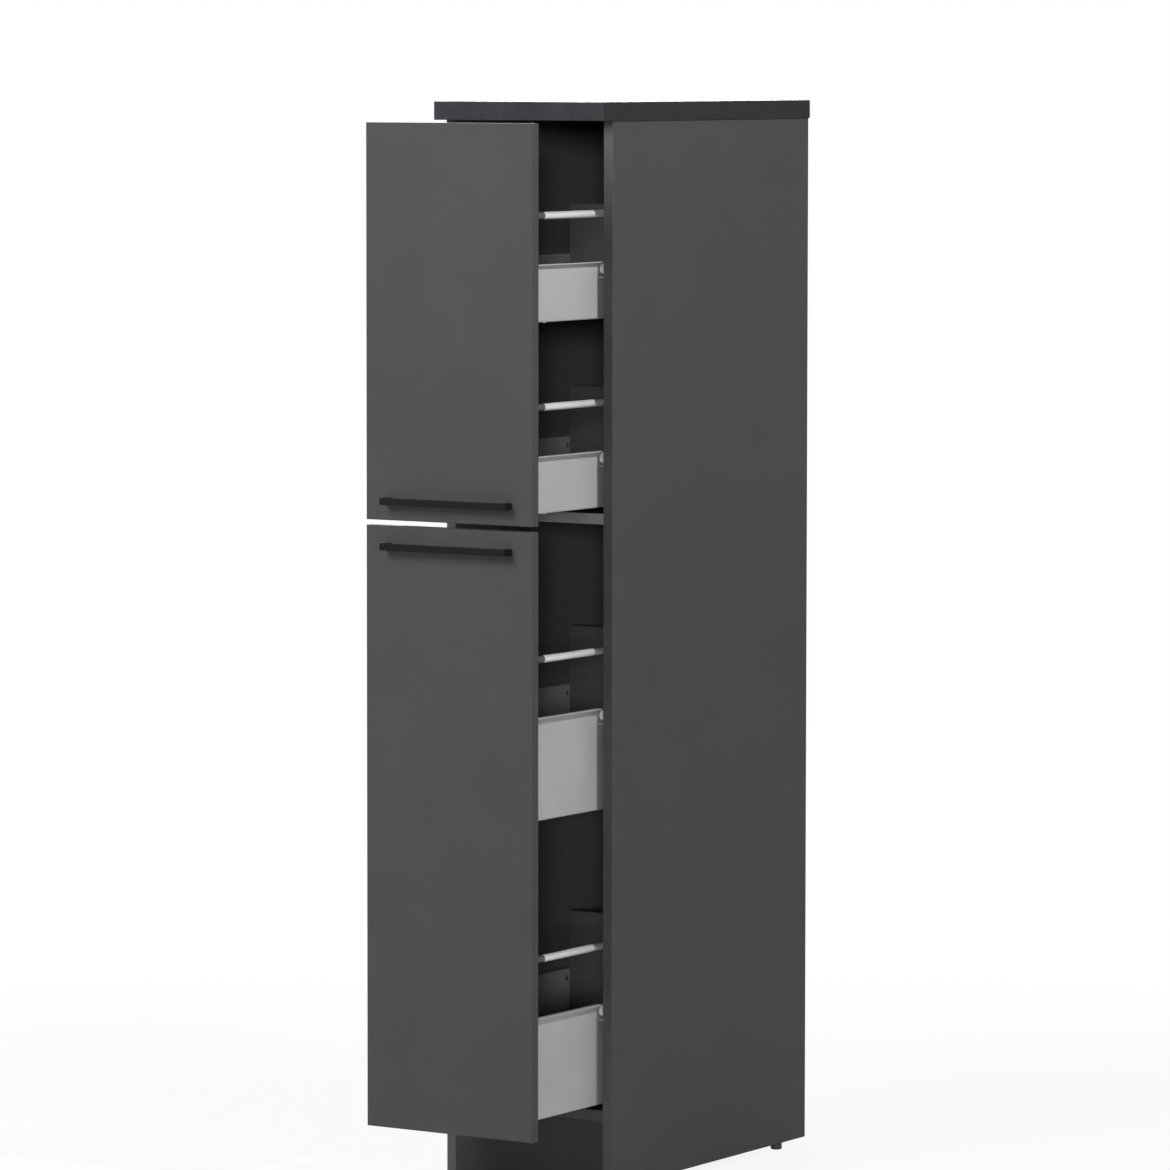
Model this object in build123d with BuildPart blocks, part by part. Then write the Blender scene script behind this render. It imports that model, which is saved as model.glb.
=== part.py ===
from build123d import *
import os

# Pull-out column cabinet, in millimetres.
# X runs across the cabinet, -Y points at the person who opens it, +Z is up.
# The origin lies on the floor, under the middle of the part's own outer box.
# The part is drawn with both pull-outs open by open_distance.

# Driving sizes of the carcass
cabinet_width = 300.0
carcass_depth = 570.0
total_height = 1650.0
board = 16.0
side_bottom_height = 10.0
bottom_panel_height = 112.0
upper_space_height = 573.0
traverse_width = 90.0
edge_round = 0.6

# Worktop
worktop_thickness = 28.0
worktop_front_overhang = 30.0
worktop_side_overhang = 2.5
worktop_edge_round = 1.2

# Back panel in its groove
back_thickness = 3.0
back_inset = 10.0
groove_depth = 6.0
groove_play = 0.2
back_end_play = 0.5

# Glides under the side panels
glide_radius = 9.0
glide_edge_distance = 75.0
glide_edge_round = 1.5
nail_radius = 1.2
nail_length = 20.0
nail_head_radius = 3.0
nail_head_thickness = 1.2
nail_head_recess = 3.0

# Dowels and cam fittings that hold the boards together
dowel_radius = 4.0
dowel_length = 30.0
dowel_in_side = 11.0
fixing_play = 0.1
dowel_edge_distance = 30.0
dowel_in_worktop = 12.0
worktop_dowel_edge_distance = 60.0
traverse_fixing_distance = 22.5
cam_edge_distance = 62.0
cam_radius = 7.5
cam_skin = 3.5
cam_end_distance = 34.0
cam_slot_radius = 3.6
cam_slot_past_centre = 3.5
cam_recess_width = 2.0
cam_recess_length = 9.0
cam_recess_depth = 2.0
bolt_thread_radius = 2.5
bolt_thread_length = 11.0
bolt_rod_radius = 3.0
bolt_neck_radius = 2.0
bolt_neck_length = 4.0
bolt_head_length = 3.0

# Fronts
open_distance = 199.0
full_travel = 375.0
front_width = 297.0
front_to_carcass = 2.0
front_top_gap = 2.0
front_joint = 8.0
front_joint_above_shelf = 6.0
front_below_bottom_panel = 1.0

# Bow handles, one on each front
handle_length = 224.0
handle_height = 10.0
handle_depth = 8.0
handle_projection = 20.0
handle_post_width = 10.0
handle_edge_round = 1.0
upper_handle_rise = 29.0
lower_handle_drop = 31.0
handle_screw_radius = 2.0
handle_screw_in_post = 10.0
handle_screw_head_radius = 4.0
handle_screw_head_thickness = 2.2

# Trays: sheet steel sides on a board base, with a board at the back
tray_inner_length = 500.0
runner_space = 12.5
sheet = 1.5
lip_width = 9.0
lip_bend = 2.5
base_bend = 1.0
base_flange = 15.0
base_chamfer = 1.2
board_play = 0.2
low_side_height = 86.0
high_side_height = 155.0
low_rail_height = 157.5
high_rail_height = 239.5
back_above_rail = 7.0
upper_tray_clearance = 8.5
lower_tray_clearance = 7.0
upper_tray_pitch = 284.0
lower_tray_pitch = 449.0

# Rail above the right side of each tray
rail_radius = 5.5
rail_wall = 1.0
rail_from_back_edge = 7.5
socket_length = 66.0
socket_flange_radius = 7.3
socket_flange_thickness = 3.0
socket_spigot_length = 12.0
holder_plate_thickness = 3.0
holder_plate_drop = 16.0
holder_plate_rise = 6.3
holder_radius = 6.8
holder_grip = 12.0
rail_play = 0.1

# Steel brackets that join the tray sides to the front
bracket_sheet = 1.5
bracket_flange = 16.0
bracket_tongue = 45.0
bracket_margin_below = 3.0
bracket_margin_above = 6.0
bracket_screw_margin = 10.0

# Cabinet runners, a C-shaped steel channel on each side of each tray
runner_front_setback = 2.0
runner_web = 1.2
channel_width = 10.5
channel_bend = 2.0
channel_below_lip = 3.5
runner_front_notch = 27.0
runner_notch_depth = 1.5
runner_stop_length = 3.0
runner_stop_height = 4.0
runner_stop_width = 6.0

# Rollers: one turns on the cabinet at the front, one on the tray at the back
front_roller_radius = 9.0
rear_roller_radius = 8.0
front_roller_setback = 14.0
rear_roller_setback = 24.0
roller_width = 6.5
roller_edge_round = 1.0
roller_rim_width = 2.0
roller_dish_depth = 1.0
roller_hub_radius = 4.0
roller_pin_radius = 2.0
roller_bore_play = 0.06
roller_side_play = 0.1
rolling_gap = 0.3
pin_collar_radius = 3.8
pin_head_radius = 3.8
pin_head_thickness = 0.8
pin_to_tray_gap = 0.6
rear_collar_thickness = 0.5

# Wood screws
screw_radius = 1.75
screw_head_radius = 3.4
screw_head_thickness = 1.4
screw_head_bevel = 0.45
screw_recess_width = 0.8
screw_recess_length = 3.6
screw_recess_depth = 0.8
short_screw_length = 13.0
long_screw_length = 28.0
screw_play = 0.05
runner_screw_insets = (50.0, 230.0, 430.0)
base_screw_insets = (70.0, 250.0, 430.0)
bracket_screw_length = 12.0
back_screw_above_base = 12.0
back_screw_below_channel = 6.5
worktop_screw_x = 67.0

# Bracket that ties the cabinet to the wall
wall_bracket_width = 40.0
wall_bracket_leg = 34.0
wall_bracket_sheet = 2.0
wall_bracket_bend = 3.0
wall_hole_radius = 2.75
wall_hole_drop = 20.0
wall_bracket_screw_spacing = 24.0
wall_bracket_screw_reach = 20.0

# Limits that follow from the sizes above
handle_reach = open_distance + front_to_carcass + board + handle_projection
carcass_front = (handle_reach - carcass_depth) / 2
carcass_back = carcass_front + carcass_depth
inner_half = cabinet_width / 2 - board
side_board_middle = cabinet_width / 2 - board / 2
worktop_underside = total_height - worktop_thickness
carcass_middle = (carcass_front + carcass_back) / 2
side_panel_height = worktop_underside - side_bottom_height
side_panel_middle = (worktop_underside + side_bottom_height) / 2
back_panel_front = carcass_back - back_inset - back_thickness
traverse_height = worktop_underside - board
bottom_panel_top = bottom_panel_height + board
mid_shelf_top = traverse_height - upper_space_height
mid_shelf_height = mid_shelf_top - board
front_inner = carcass_front - front_to_carcass - open_distance
front_outer = front_inner - board
joint_middle = mid_shelf_height + front_joint_above_shelf
runner_length = tray_inner_length + board
tray_end = front_inner + runner_length
tray_outer = inner_half - runner_space
tray_inner = tray_outer - sheet
rail_x = tray_inner - board_play - rail_from_back_edge
tray_back_front = tray_end - board
glide_ys = (carcass_front + glide_edge_distance, carcass_back - glide_edge_distance)

upper_front_bottom = joint_middle + front_joint / 2
upper_front_top = worktop_underside - front_top_gap
lower_front_bottom = bottom_panel_height - front_below_bottom_panel
lower_front_top = joint_middle - front_joint / 2

# Height of each tray's underside, then of its steel side and its rail above that underside
tray_2_bottom = mid_shelf_top + upper_tray_clearance
tray_1_bottom = tray_2_bottom + upper_tray_pitch
tray_4_bottom = bottom_panel_top + lower_tray_clearance
tray_3_bottom = tray_4_bottom + lower_tray_pitch
trays = {
    "tray_1": (tray_1_bottom, low_side_height, low_rail_height),
    "tray_2": (tray_2_bottom, low_side_height, low_rail_height),
    "tray_3": (tray_3_bottom, high_side_height, high_rail_height),
    "tray_4": (tray_4_bottom, high_side_height, high_rail_height),
}
front_limits = {
    "upper": (upper_front_bottom, upper_front_top),
    "lower": (lower_front_bottom, lower_front_top),
}
pullouts = {
    "upper": ("tray_1", "tray_2"),
    "lower": ("tray_3", "tray_4"),
}
both_sides = (-1, 1)
tray_sides = [(name, side) for name in trays for side in both_sides]


# Helpers

from_low = (Align.CENTER, Align.CENTER, Align.MIN)
from_high = (Align.CENTER, Align.CENTER, Align.MAX)


def across(x):
    """Plane at x whose normal points to +X, with Y across it and Z up it."""
    return Plane.YZ.offset(x)


def upright(y):
    """Plane at y whose normal points to -Y, with X across it and Z up it."""
    return Plane.XZ.offset(-y)


def level(z):
    """Plane at height z whose normal points up."""
    return Plane.XY.offset(z)


def facing(x, y, z, direction):
    """Plane at a point whose normal points along direction."""
    return Plane(origin=(x, y, z), z_dir=direction)


def outward(side, x, y, z):
    """Plane on one side of the cabinet whose normal points away from its middle."""
    return facing(side * x, y, z, (side, 0, 0))


def drill(places, radius, depth):
    """Round holes that go depth into the part behind each place."""
    with Locations(*places):
        Cylinder(radius, depth, align=from_high, mode=Mode.SUBTRACT)


def rod(places, radius, height):
    """Round rods that stand out of each place by height."""
    with Locations(*places):
        Cylinder(radius, height, align=from_low)


def moved(places, distance):
    """The same places, each moved by distance along its own normal."""
    return [place.offset(distance) for place in places]


def joined(place_lists):
    """The places of several lists in one list."""
    return [place for places in place_lists for place in places]


def save(part, name):
    """Label a finished piece and write it to its own file."""
    part.label = name
    export_step(part, f"parts/{name}.step")


def slab(x_size, y_front, y_back, z_low, z_high):
    """A board centred on X, with its other limits given."""
    with BuildPart() as piece:
        with BuildSketch(level(z_low)):
            with Locations((0, (y_front + y_back) / 2)):
                Rectangle(x_size, y_back - y_front)
        extrude(amount=z_high - z_low)
    return piece.part


# Dowel and cam places

rear_traverse_front = back_panel_front - traverse_width
# Underside, front edge and back edge of each board
shelf_boards = {
    "bottom_panel": (bottom_panel_height, carcass_front, back_panel_front),
    "mid_shelf": (mid_shelf_height, carcass_front, back_panel_front),
}
plinth_dowel_heights = (
    side_bottom_height + dowel_edge_distance,
    bottom_panel_height - dowel_edge_distance,
)


def dowel_places(side):
    """Dowel places in one side panel, listed by board."""
    places = {}
    for name, (underside, y_front, y_back) in shelf_boards.items():
        ys = (y_front + dowel_edge_distance, y_back - dowel_edge_distance)
        places[name] = [outward(side, inner_half, y, underside + board / 2) for y in ys]
    y = rear_traverse_front + traverse_fixing_distance
    places["rear_traverse"] = [outward(side, inner_half, y, traverse_height + board / 2)]
    y = carcass_front + board / 2
    places["plinth_panel"] = [outward(side, inner_half, y, z) for z in plinth_dowel_heights]
    return places


def cam_places(side):
    """Cam bolt places in one side panel, listed by board."""
    places = {}
    for name, (underside, y_front, y_back) in shelf_boards.items():
        ys = (y_front + cam_edge_distance, y_back - cam_edge_distance)
        places[name] = [outward(side, inner_half, y, underside + board / 2) for y in ys]
    y = back_panel_front - traverse_fixing_distance
    places["rear_traverse"] = [outward(side, inner_half, y, traverse_height + board / 2)]
    return places


def worktop_dowel_places():
    """Places on the top edges of the side panels, facing up."""
    ys = (carcass_front + worktop_dowel_edge_distance, carcass_back - worktop_dowel_edge_distance)
    return [
        facing(side * side_board_middle, y, worktop_underside, (0, 0, 1))
        for side in both_sides
        for y in ys
    ]


def cam_housing_places(name):
    """Places of the cam housings on the underside of one board."""
    housings = []
    for side in both_sides:
        for bolt in cam_places(side)[name]:
            x = side * (inner_half - cam_end_distance)
            housings.append(facing(x, bolt.origin.Y, bolt.origin.Z - board / 2, (0, 0, -1)))
    return housings


def drill_board_ends(name, with_cams=True):
    """Holes in the two ends of a board for its dowels and cam bolts, and for the cams."""
    for side in both_sides:
        drill(dowel_places(side)[name], dowel_radius + fixing_play,
              dowel_length - dowel_in_side + fixing_play)
        if with_cams:
            drill(cam_places(side)[name], cam_slot_radius, cam_end_distance + cam_slot_past_centre)
    if with_cams:
        drill(cam_housing_places(name), cam_radius + fixing_play, board - cam_skin)


# Runner and screw places

def lip_underside(tray):
    """Height of the underside of a tray side's rolling lip."""
    bottom, side_height, _ = trays[tray]
    return bottom + side_height - sheet


def front_roller_height(tray):
    """Height of the axis of the cabinet's front rollers."""
    return lip_underside(tray) - rolling_gap - front_roller_radius


def channel_top(tray):
    """Height of the top of a runner's channel."""
    return lip_underside(tray) - channel_below_lip


def rear_roller_height(tray):
    """Height of the axis of the tray's rear rollers, which run inside the channel."""
    return channel_top(tray) - runner_web - rolling_gap - rear_roller_radius


def channel_bottom(tray):
    """Height of the underside of a runner's channel."""
    return rear_roller_height(tray) - rear_roller_radius - rolling_gap - runner_web


front_roller_y = carcass_front + front_roller_setback
rear_roller_y = tray_end - rear_roller_setback
stop_y = rear_roller_y - (full_travel - open_distance) - rear_roller_radius - rolling_gap


def runner_screw_places(tray, side):
    """Places on the inner face of a runner's web, facing the tray."""
    x = side * (inner_half - runner_web)
    y_start = carcass_front + runner_front_setback
    z = rear_roller_height(tray)
    return [facing(x, y_start + inset, z, (-side, 0, 0)) for inset in runner_screw_insets]


def worktop_screw_places():
    """Places on the underside of the rear traverse."""
    y = rear_traverse_front + traverse_width / 2
    return [facing(side * worktop_screw_x, y, traverse_height, (0, 0, -1)) for side in both_sides]


def wall_bracket_screw_places():
    """Places on the underside of the wall bracket's upper leg."""
    x = wall_bracket_screw_spacing / 2
    y = back_panel_front - wall_bracket_screw_reach
    z = traverse_height - wall_bracket_sheet
    return [facing(side * x, y, z, (0, 0, -1)) for side in both_sides]


def base_screw_places(tray):
    """Places on the underside of the flanges that carry a tray's base."""
    bottom = trays[tray][0]
    x = tray_inner - base_flange / 2
    return [
        facing(side * x, front_inner + inset, bottom, (0, 0, -1))
        for side in both_sides
        for inset in base_screw_insets
    ]


def back_screw_places(tray):
    """Places on the outer faces of a tray's sides, at its back board."""
    low = trays[tray][0] + sheet + board + back_screw_above_base
    high = channel_bottom(tray) - back_screw_below_channel
    y = tray_end - board / 2
    return [outward(side, tray_outer, y, z) for side in both_sides for z in (low, high)]


def bracket_limits(tray):
    """Lowest and highest point of a tray's front brackets."""
    bottom, side_height, _ = trays[tray]
    low = bottom + sheet + board + bracket_margin_below
    high = bottom + side_height - bracket_margin_above
    return low, high


def bracket_screw_places(tray):
    """Places on the front brackets' flanges, facing into the tray."""
    low, high = bracket_limits(tray)
    x = tray_inner - bracket_sheet - (bracket_flange - bracket_sheet) / 2
    return [
        facing(side * x, front_inner + bracket_sheet, z, (0, 1, 0))
        for side in both_sides
        for z in (low + bracket_screw_margin, high - bracket_screw_margin)
    ]


def handle_height_on_front(name):
    """Height of a handle's middle."""
    if name == "upper":
        return upper_front_bottom + upper_handle_rise
    return lower_front_top - lower_handle_drop


def handle_screw_places(name):
    """Places on the inner face of a front, behind the handle's posts."""
    x = handle_length / 2 - handle_post_width / 2
    z = handle_height_on_front(name)
    return [facing(side * x, front_inner, z, (0, 1, 0)) for side in both_sides]


# Carcass pieces

def side_panel(side):
    """One side board with its back groove and every hole that its fixings need."""
    face = side * inner_half
    with BuildPart() as panel:
        with BuildSketch(across(face)):
            with Locations((carcass_middle, side_panel_middle)):
                Rectangle(carcass_depth, side_panel_height)
        extrude(amount=side * board)
        outer_edges = panel.faces().sort_by(Axis.X)[-1 if side > 0 else 0].edges()
        chamfer(outer_edges.filter_by(Axis.Z), edge_round)
        groove_width = back_thickness + groove_play
        groove_y = back_panel_front + back_thickness / 2
        with Locations((face, groove_y, side_panel_middle)):
            Box(2 * groove_depth, groove_width, side_panel_height, mode=Mode.SUBTRACT)
        dowels = joined(dowel_places(side).values())
        dowel_hole_depth = dowel_in_side + fixing_play
        drill(moved(dowels, dowel_hole_depth), dowel_radius + fixing_play, dowel_hole_depth)
        bolts = joined(cam_places(side).values())
        drill(moved(bolts, bolt_thread_length), bolt_thread_radius + screw_play, bolt_thread_length)
        top_dowels = [place for place in worktop_dowel_places() if side * place.origin.X > 0]
        drill(top_dowels, dowel_radius + fixing_play, dowel_length - dowel_in_worktop + fixing_play)
        runner_screws = joined(runner_screw_places(tray, side) for tray in trays)
        drill(moved(runner_screws, -runner_web), screw_radius + screw_play,
              short_screw_length - runner_web)
        nail_ends = moved(glide_places(side), side_bottom_height + nail_length)
        drill(nail_ends, nail_radius + screw_play, nail_length)
    return panel.part


def shelf_board(name):
    """A full-depth board between the sides."""
    underside, y_front, y_back = shelf_boards[name]
    with BuildPart() as shelf:
        add(slab(2 * inner_half, y_front, y_back, underside, underside + board))
        drill_board_ends(name)
    return shelf.part


def rear_traverse():
    """The narrow board at the back, to which the worktop and the wall bracket are screwed."""
    width = 2 * inner_half
    with BuildPart() as traverse:
        add(slab(width, rear_traverse_front, back_panel_front, traverse_height, worktop_underside))
        drill_board_ends("rear_traverse")
        drill(worktop_screw_places(), screw_radius + screw_play, board)
        drill(moved(wall_bracket_screw_places(), -wall_bracket_sheet), screw_radius + screw_play,
              short_screw_length - wall_bracket_sheet)
    return traverse.part


def back_panel():
    """The thin back, held in the grooves of the sides."""
    width = 2 * (inner_half + groove_depth - back_end_play)
    y_back = back_panel_front + back_thickness
    with BuildPart() as back:
        add(slab(width, back_panel_front, y_back, bottom_panel_height, worktop_underside - back_end_play))
        hole = facing(0, y_back, traverse_height - wall_hole_drop, (0, 1, 0))
        drill([hole], wall_hole_radius, back_thickness)
    return back.part


def plinth_panel():
    """The board below the bottom panel, flush with the sides."""
    y_back = carcass_front + board
    with BuildPart() as plinth:
        add(slab(2 * inner_half, carcass_front, y_back, side_bottom_height, bottom_panel_height))
        drill_board_ends("plinth_panel", with_cams=False)
    return plinth.part


def worktop():
    """The thick top, which laps over both closed fronts."""
    width = cabinet_width + 2 * worktop_side_overhang
    y_front = carcass_front - worktop_front_overhang
    with BuildPart() as top:
        add(slab(width, y_front, carcass_back, worktop_underside, total_height))
        front_edges = top.faces().sort_by(Axis.Y)[0].edges().filter_by(Axis.X)
        fillet(front_edges, worktop_edge_round)
        drill(moved(worktop_screw_places(), -board), screw_radius + screw_play,
              long_screw_length - board)
        dowel_hole_depth = dowel_in_worktop + fixing_play
        drill(moved(worktop_dowel_places(), dowel_hole_depth), dowel_radius + fixing_play,
              dowel_hole_depth)
    return top.part


def glide_places(side):
    """Places on the floor under one side panel, facing up."""
    return [facing(side * side_board_middle, y, 0, (0, 0, 1)) for y in glide_ys]


def glide_feet():
    """Four round plastic glides, each with a recess for its nail's head."""
    places = glide_places(-1) + glide_places(1)
    with BuildPart() as glides:
        rod(places, glide_radius, side_bottom_height)
        chamfer(glides.edges().filter_by(GeomType.CIRCLE).group_by(Axis.Z)[0], glide_edge_round)
        drill(moved(places, nail_head_recess), nail_head_radius + fixing_play, nail_head_recess)
        drill(moved(places, side_bottom_height), nail_radius + screw_play, side_bottom_height)
    return glides.part


def glide_nails():
    """The nails that hold the glides."""
    places = moved(glide_places(-1) + glide_places(1), nail_head_recess)
    shank_length = side_bottom_height - nail_head_recess + nail_length - fixing_play
    with BuildPart() as nails:
        rod(moved(places, -nail_head_thickness), nail_head_radius, nail_head_thickness)
        rod(places, nail_radius, shank_length)
    return nails.part


def carcass_dowels():
    """The wooden dowels in the ends of every board and under the worktop."""
    with BuildPart() as dowels:
        for side in both_sides:
            starts = moved(joined(dowel_places(side).values()), dowel_in_side - dowel_length)
            rod(starts, dowel_radius, dowel_length)
        rod(moved(worktop_dowel_places(), dowel_in_worktop - dowel_length), dowel_radius, dowel_length)
    return dowels.part


def cam_fitting():
    """One cam housing and its bolt, for a board end at the origin and a side panel beyond it."""
    with BuildPart() as fitting:
        bolt_axis = [facing(0, 0, 0, (1, 0, 0))]
        housing = [facing(-cam_end_distance, 0, -board / 2, (0, 0, 1))]
        rod(housing, cam_radius, board - cam_skin)
        with Locations(*housing):
            Box(cam_recess_width, cam_recess_length, cam_recess_depth, align=from_low,
                mode=Mode.SUBTRACT)
            Box(cam_recess_length, cam_recess_width, cam_recess_depth, align=from_low,
                mode=Mode.SUBTRACT)
        drill(bolt_axis, cam_slot_radius, cam_end_distance + cam_slot_past_centre)
        neck_end = cam_end_distance - bolt_head_length / 2
        neck_start = neck_end - bolt_neck_length
        rod(bolt_axis, bolt_thread_radius, bolt_thread_length)
        rod(moved(bolt_axis, -neck_start), bolt_rod_radius, neck_start)
        rod(moved(bolt_axis, -neck_end), bolt_neck_radius, bolt_neck_length)
        rod(moved(bolt_axis, -neck_end - bolt_head_length), bolt_rod_radius, bolt_head_length)
    return fitting.part


def cam_fittings():
    """The cam housings in the boards and the bolts that they pull on."""
    fitting = cam_fitting()
    with BuildPart() as fittings:
        with Locations(*[place.origin for place in joined(cam_places(1).values())]):
            add(fitting)
        mirror(about=Plane.YZ)
    return fittings.part


def wood_screw(length):
    """One pan-headed screw that points down, with its head seated on the origin."""
    with BuildPart() as screw:
        Cylinder(screw_radius, length, align=from_high)
        Cylinder(screw_head_radius, screw_head_thickness, align=from_low)
        chamfer(screw.edges().filter_by(GeomType.CIRCLE).sort_by(Axis.Z)[-1], screw_head_bevel)
        with Locations((0, 0, screw_head_thickness)):
            Box(screw_recess_width, screw_recess_length, screw_recess_depth, align=from_high,
                mode=Mode.SUBTRACT)
            Box(screw_recess_length, screw_recess_width, screw_recess_depth, align=from_high,
                mode=Mode.SUBTRACT)
    return screw.part


def wood_screws(places, length):
    """Screws whose heads seat on each place."""
    screw = wood_screw(length)
    with Locations(*places):
        add(screw)


def carcass_screws():
    """The screws of the worktop, the wall bracket and the runners."""
    with BuildPart() as screws:
        wood_screws(worktop_screw_places(), long_screw_length)
        wood_screws(wall_bracket_screw_places(), short_screw_length)
        runner_screws = joined(runner_screw_places(tray, side) for tray, side in tray_sides)
        wood_screws(runner_screws, short_screw_length)
    return screws.part


def wall_bracket():
    """Steel angle under the rear traverse, with the hole for the wall screw."""
    with BuildPart() as bracket:
        with BuildSketch(across(-wall_bracket_width / 2)):
            with BuildLine():
                FilletPolyline(
                    (back_panel_front - wall_bracket_leg, traverse_height),
                    (back_panel_front, traverse_height),
                    (back_panel_front, traverse_height - wall_bracket_leg),
                    radius=wall_bracket_bend,
                )
                offset(amount=wall_bracket_sheet, side=Side.RIGHT)
            make_face()
        extrude(amount=wall_bracket_width)
        hole = facing(0, back_panel_front, traverse_height - wall_hole_drop, (0, 1, 0))
        drill([hole], wall_hole_radius, wall_bracket_sheet)
        drill(wall_bracket_screw_places(), screw_radius + screw_play, wall_bracket_sheet)
    return bracket.part


# Runners, rollers and their pins

def runner_pair(tray):
    """The two steel channels of one tray, each with the stop that ends its travel."""
    y_front = carcass_front + runner_front_setback
    y_back = y_front + runner_length
    low = channel_bottom(tray)
    high = channel_top(tray)
    with BuildPart() as right:
        with BuildSketch(upright(y_back)):
            with BuildLine():
                FilletPolyline(
                    (inner_half - channel_width, low),
                    (inner_half, low),
                    (inner_half, high),
                    (inner_half - channel_width, high),
                    radius=channel_bend,
                )
                offset(amount=runner_web, side=Side.LEFT)
            make_face()
        extrude(amount=runner_length)
        with Locations((inner_half - runner_web, y_front, high)):
            Box(channel_width, runner_front_notch, runner_notch_depth,
                align=(Align.MAX, Align.MIN, Align.MAX), mode=Mode.SUBTRACT)
        with Locations((inner_half - runner_web, stop_y, low + runner_web)):
            Box(runner_stop_width, runner_stop_length, runner_stop_height,
                align=(Align.MAX, Align.MAX, Align.MIN))
        pin = outward(1, inner_half, front_roller_y, front_roller_height(tray))
        drill([pin], roller_pin_radius + screw_play, runner_web)
        drill(runner_screw_places(tray, 1), screw_radius + screw_play, runner_web)
    with BuildPart() as pair:
        add(right.part)
        mirror(about=Plane.YZ)
    return pair.part


def roller_pair(inner_x, radius, y, z):
    """Two nylon rollers on one axis, one on each side, with a ring-shaped dish in both faces."""
    outer_x = inner_x + roller_width
    with BuildPart() as pair:
        for side in both_sides:
            rod([outward(side, inner_x, y, z)], radius, roller_width)
        rims = pair.edges().filter_by(GeomType.CIRCLE)
        fillet(rims, roller_edge_round)
        for side in both_sides:
            outer_end = outward(side, outer_x, y, z)
            inner_end = facing(side * inner_x, y, z, (-side, 0, 0))
            for end in (outer_end, inner_end):
                with BuildSketch(end):
                    Circle(radius - roller_rim_width)
                    Circle(roller_hub_radius, mode=Mode.SUBTRACT)
                extrude(amount=-roller_dish_depth, mode=Mode.SUBTRACT)
            drill([outer_end], roller_pin_radius + roller_bore_play, roller_width)
    return pair.part


front_roller_x = tray_outer + pin_to_tray_gap + pin_head_thickness + roller_side_play
rear_roller_x = tray_outer + rear_collar_thickness + roller_side_play


def runner_roller_pins():
    """The pins riveted into the runners, on which the front rollers turn."""
    web_face = inner_half - runner_web
    collar_start = front_roller_x + roller_width + roller_side_play
    head_start = front_roller_x - roller_side_play - pin_head_thickness
    with BuildPart() as pins:
        for tray, side in tray_sides:
            z = front_roller_height(tray)
            head = outward(side, head_start, front_roller_y, z)
            collar = outward(side, collar_start, front_roller_y, z)
            rod([head], pin_head_radius, pin_head_thickness)
            rod([head], roller_pin_radius, inner_half - head_start)
            rod([collar], pin_collar_radius, web_face - collar_start)
    return pins.part


def tray_roller_pins(pullout):
    """The pins riveted into the tray sides, on which the rear rollers turn."""
    roller_end = rear_roller_x + roller_width + roller_side_play
    with BuildPart() as pins:
        for tray, side in tray_sides:
            if tray not in pullouts[pullout]:
                continue
            z = rear_roller_height(tray)
            riveted_head = outward(side, tray_inner - pin_head_thickness, rear_roller_y, z)
            shank = outward(side, tray_inner, rear_roller_y, z)
            collar = outward(side, tray_outer, rear_roller_y, z)
            outer_head = outward(side, roller_end, rear_roller_y, z)
            rod([riveted_head, outer_head], pin_head_radius, pin_head_thickness)
            rod([shank], roller_pin_radius, roller_end - tray_inner)
            rod([collar], pin_collar_radius, rear_collar_thickness)
    return pins.part


# Trays

def tray_side(tray, side):
    """A steel side: flange under the base, wall, and the flat lip that rolls on the front roller."""
    bottom, side_height, _ = trays[tray]
    top = bottom + side_height
    with BuildPart() as right:
        with BuildSketch(upright(tray_end)):
            with BuildLine():
                FilletPolyline(
                    (tray_inner - base_flange, bottom + sheet),
                    (tray_inner, bottom + sheet),
                    (tray_inner, top),
                    (tray_outer + lip_width, top),
                    radius=[base_bend, lip_bend],
                )
                offset(amount=sheet, side=Side.RIGHT)
            make_face()
        extrude(amount=runner_length)
        right_screws = [place for place in base_screw_places(tray) if place.origin.X > 0]
        drill(right_screws, screw_radius + screw_play, sheet)
        back_screws = [place for place in back_screw_places(tray) if place.origin.X > 0]
        drill(back_screws, screw_radius + screw_play, sheet)
        pin = outward(1, tray_outer, rear_roller_y, rear_roller_height(tray))
        drill([pin], roller_pin_radius + screw_play, sheet)
    if side > 0:
        return right.part
    with BuildPart() as left:
        add(right.part)
        mirror(about=Plane.YZ, mode=Mode.REPLACE)
    return left.part


def tray_base(tray):
    """The board that lies on the flanges of the two sides."""
    low = trays[tray][0] + sheet
    width = 2 * (tray_inner - board_play)
    with BuildPart() as base:
        add(slab(width, front_inner, tray_end, low, low + board))
        lower_edges = base.faces().sort_by(Axis.Z)[0].edges().filter_by(Axis.Y)
        chamfer(lower_edges, base_chamfer)
        drill(moved(base_screw_places(tray), -sheet), screw_radius + screw_play,
              short_screw_length - sheet)
    return base.part


def tray_back(tray):
    """The board at the rear, which stands on the base and reaches up to the rails."""
    bottom, _, rail_height = trays[tray]
    low = bottom + sheet + board
    width = 2 * (tray_inner - board_play)
    with BuildPart() as back:
        add(slab(width, tray_back_front, tray_end, low, bottom + rail_height + back_above_rail))
        top_face = back.faces().sort_by(Axis.Z)[-1]
        chamfer(top_face.edges(), edge_round)
        drill(moved(back_screw_places(tray), -sheet - board_play), screw_radius + screw_play,
              short_screw_length - sheet - board_play)
    return back.part


rail_start = front_inner + socket_length
rail_end = tray_back_front - holder_plate_thickness


def tray_rail(tray):
    """The round tube above the right side."""
    start = [facing(rail_x, rail_start, trays[tray][0] + trays[tray][2], (0, 1, 0))]
    with BuildPart() as rail:
        rod(start, rail_radius, rail_end - rail_start)
        drill(moved(start, rail_end - rail_start), rail_radius - rail_wall, rail_end - rail_start)
    return rail.part


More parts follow.
